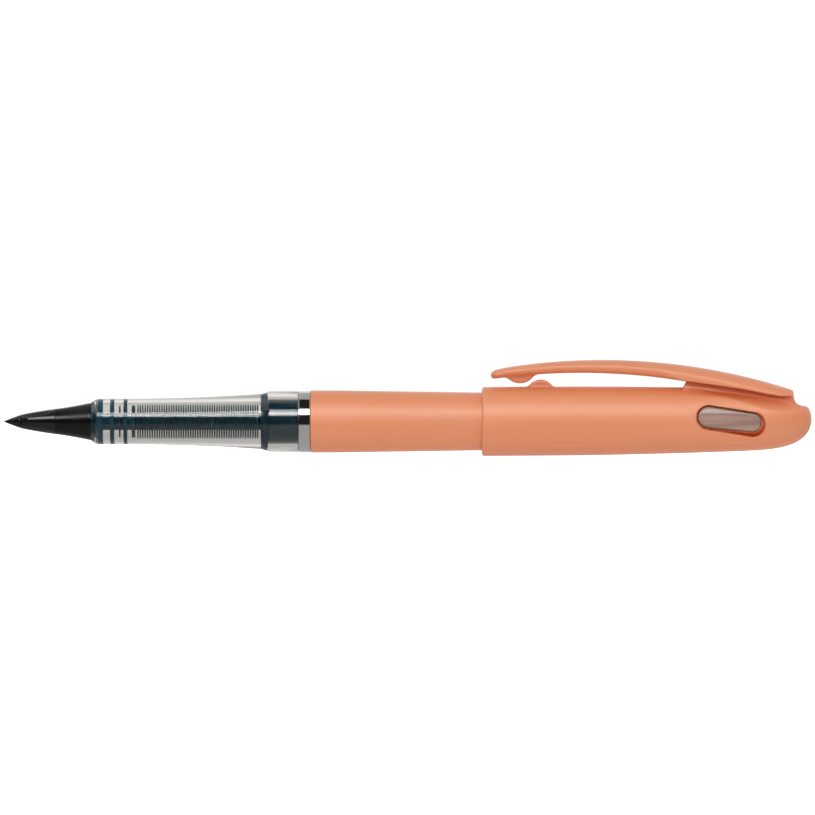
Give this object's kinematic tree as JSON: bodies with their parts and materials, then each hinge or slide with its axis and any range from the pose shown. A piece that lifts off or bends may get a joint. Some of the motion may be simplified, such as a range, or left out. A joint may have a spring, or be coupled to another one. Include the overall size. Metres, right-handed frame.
{
  "type": "brush pen",
  "caption": "Slim pen with a pointed plastic brush-style nib, clear ink-feed grip, coral barrel and a clipped, windowed cap posted on the tail.",
  "frame": {"origin": "on the pen's axis at the barrel's front face, where the bright ring meets the barrel", "axes": "+X along the pen towards the cap's closed end, -X towards the nib, +Z towards the clip, +Y completes the right-handed frame"},
  "size_m": [0.1566, 0.0134, 0.0186],
  "materials": {
    "point_black": "satin moulded point",
    "sheath_black": "gloss",
    "nose_black": "satin",
    "clear_grip": "polished clear plastic",
    "collector_plastic": "satin, wet with ink",
    "fibre": "bonded fibre, soaked with ink",
    "coupler_plastic": "satin",
    "tank_plastic": "polished clear plastic",
    "plug_plastic": "satin",
    "ink": "liquid",
    "bright_ring": "mirror-bright plating",
    "coral_plastic": "satin with a fine moulded texture",
    "clear_liner": "frosted clear plastic"
  },
  "bodies": {
    "barrel": {"barrel": "coral_plastic"},
    "ring": {"trim_ring": "bright_ring"},
    "writing_unit": {"writing_point": "point_black", "nib_sheath": "sheath_black", "nose_cone": "nose_black", "grip_section": "clear_grip", "ink_collector": "collector_plastic", "feed_rod": "fibre", "tank_coupler": "coupler_plastic", "ink_tank": "tank_plastic", "tank_plug": "plug_plastic", "ink_charge": "ink"},
    "cap": {"cap_shell": "coral_plastic", "inner_cap": "clear_liner"},
    "clip": {"clip_arm": "coral_plastic"}
  },
  "joints": [
    {"name": "cap_pull", "type": "slide", "parent": "barrel", "child": "cap", "axis": [1, 0, 0], "range_m": [0, 0.042]},
    {"name": "clip_flex", "type": "hinge", "parent": "cap", "child": "clip", "pos_m": [0.0729, 0, 0.0093], "axis": [0, 1, 0], "range_deg": [0, 5], "stiffness_Nm_per_rad": 1.5},
    {"name": "ring_draw", "type": "slide", "parent": "barrel", "child": "ring", "axis": [-1, 0, 0], "range_m": [0, 0.00301]},
    {"name": "unit_unscrew", "type": "hinge", "parent": "ring", "child": "writing_unit", "pos_m": [0, 0, 0], "axis": [-1, 0, 0], "range_deg": [0, 1080]}
  ],
  "couplings": [
    {"joint": "ring_draw", "follows": "unit_unscrew", "m_per_rad": 0.00015915}
  ]
}
